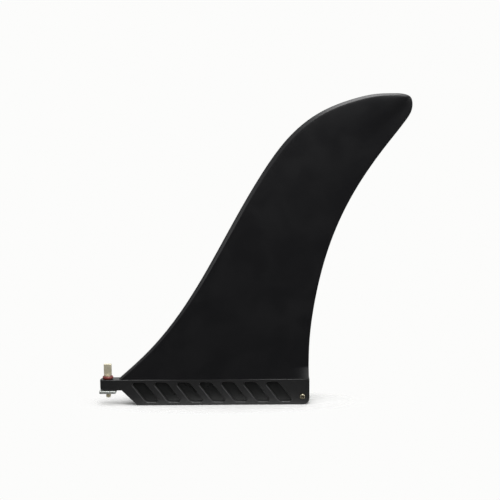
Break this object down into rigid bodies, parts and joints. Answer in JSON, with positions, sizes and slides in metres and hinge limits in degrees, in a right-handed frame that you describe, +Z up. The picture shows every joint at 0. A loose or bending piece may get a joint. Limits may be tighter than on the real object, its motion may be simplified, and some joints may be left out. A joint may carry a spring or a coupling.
{
  "type": "surfboard fin",
  "caption": "Swept centre fin for a surfboard or paddle board, with a recessed base for a slotted fin box, a cross pin at the rear and a flat thumb screw with lock plate at the front.",
  "frame": {"origin": "middle of the flat bottom of the base, in the plane of symmetry", "axes": "+X runs along the base from the screw tab to the rear, +Y is across the fin, and +Z is up the blade"},
  "size_m": [0.2508, 0.0126, 0.25],
  "materials": {
    "fin_nylon": "black reinforced nylon, finely grained, satin",
    "pin_brass": "dull turned brass",
    "screw_steel": "satin stainless steel",
    "ring_rubber": "red rubber, satin",
    "plate_steel": "polished stainless steel"
  },
  "bodies": {
    "fin": {"fin_body": "fin_nylon", "cross_pin": "pin_brass"},
    "screw": {"thumb_screw": "screw_steel", "o_ring": "ring_rubber"},
    "plate": {"lock_plate": "plate_steel"}
  },
  "joints": [
    {"name": "plate_travel", "type": "slide", "parent": "fin", "child": "plate", "axis": [0, 0, -1], "range_m": [0, 0.00367]},
    {"name": "screw_turn", "type": "hinge", "parent": "fin", "child": "screw", "pos_m": [-0.0939, 0, 0.0214], "axis": [0, 0, 1], "range_deg": [0, 1890]}
  ],
  "couplings": [
    {"joint": "screw_turn", "follows": "plate_travel", "rad_per_m": 8976}
  ]
}
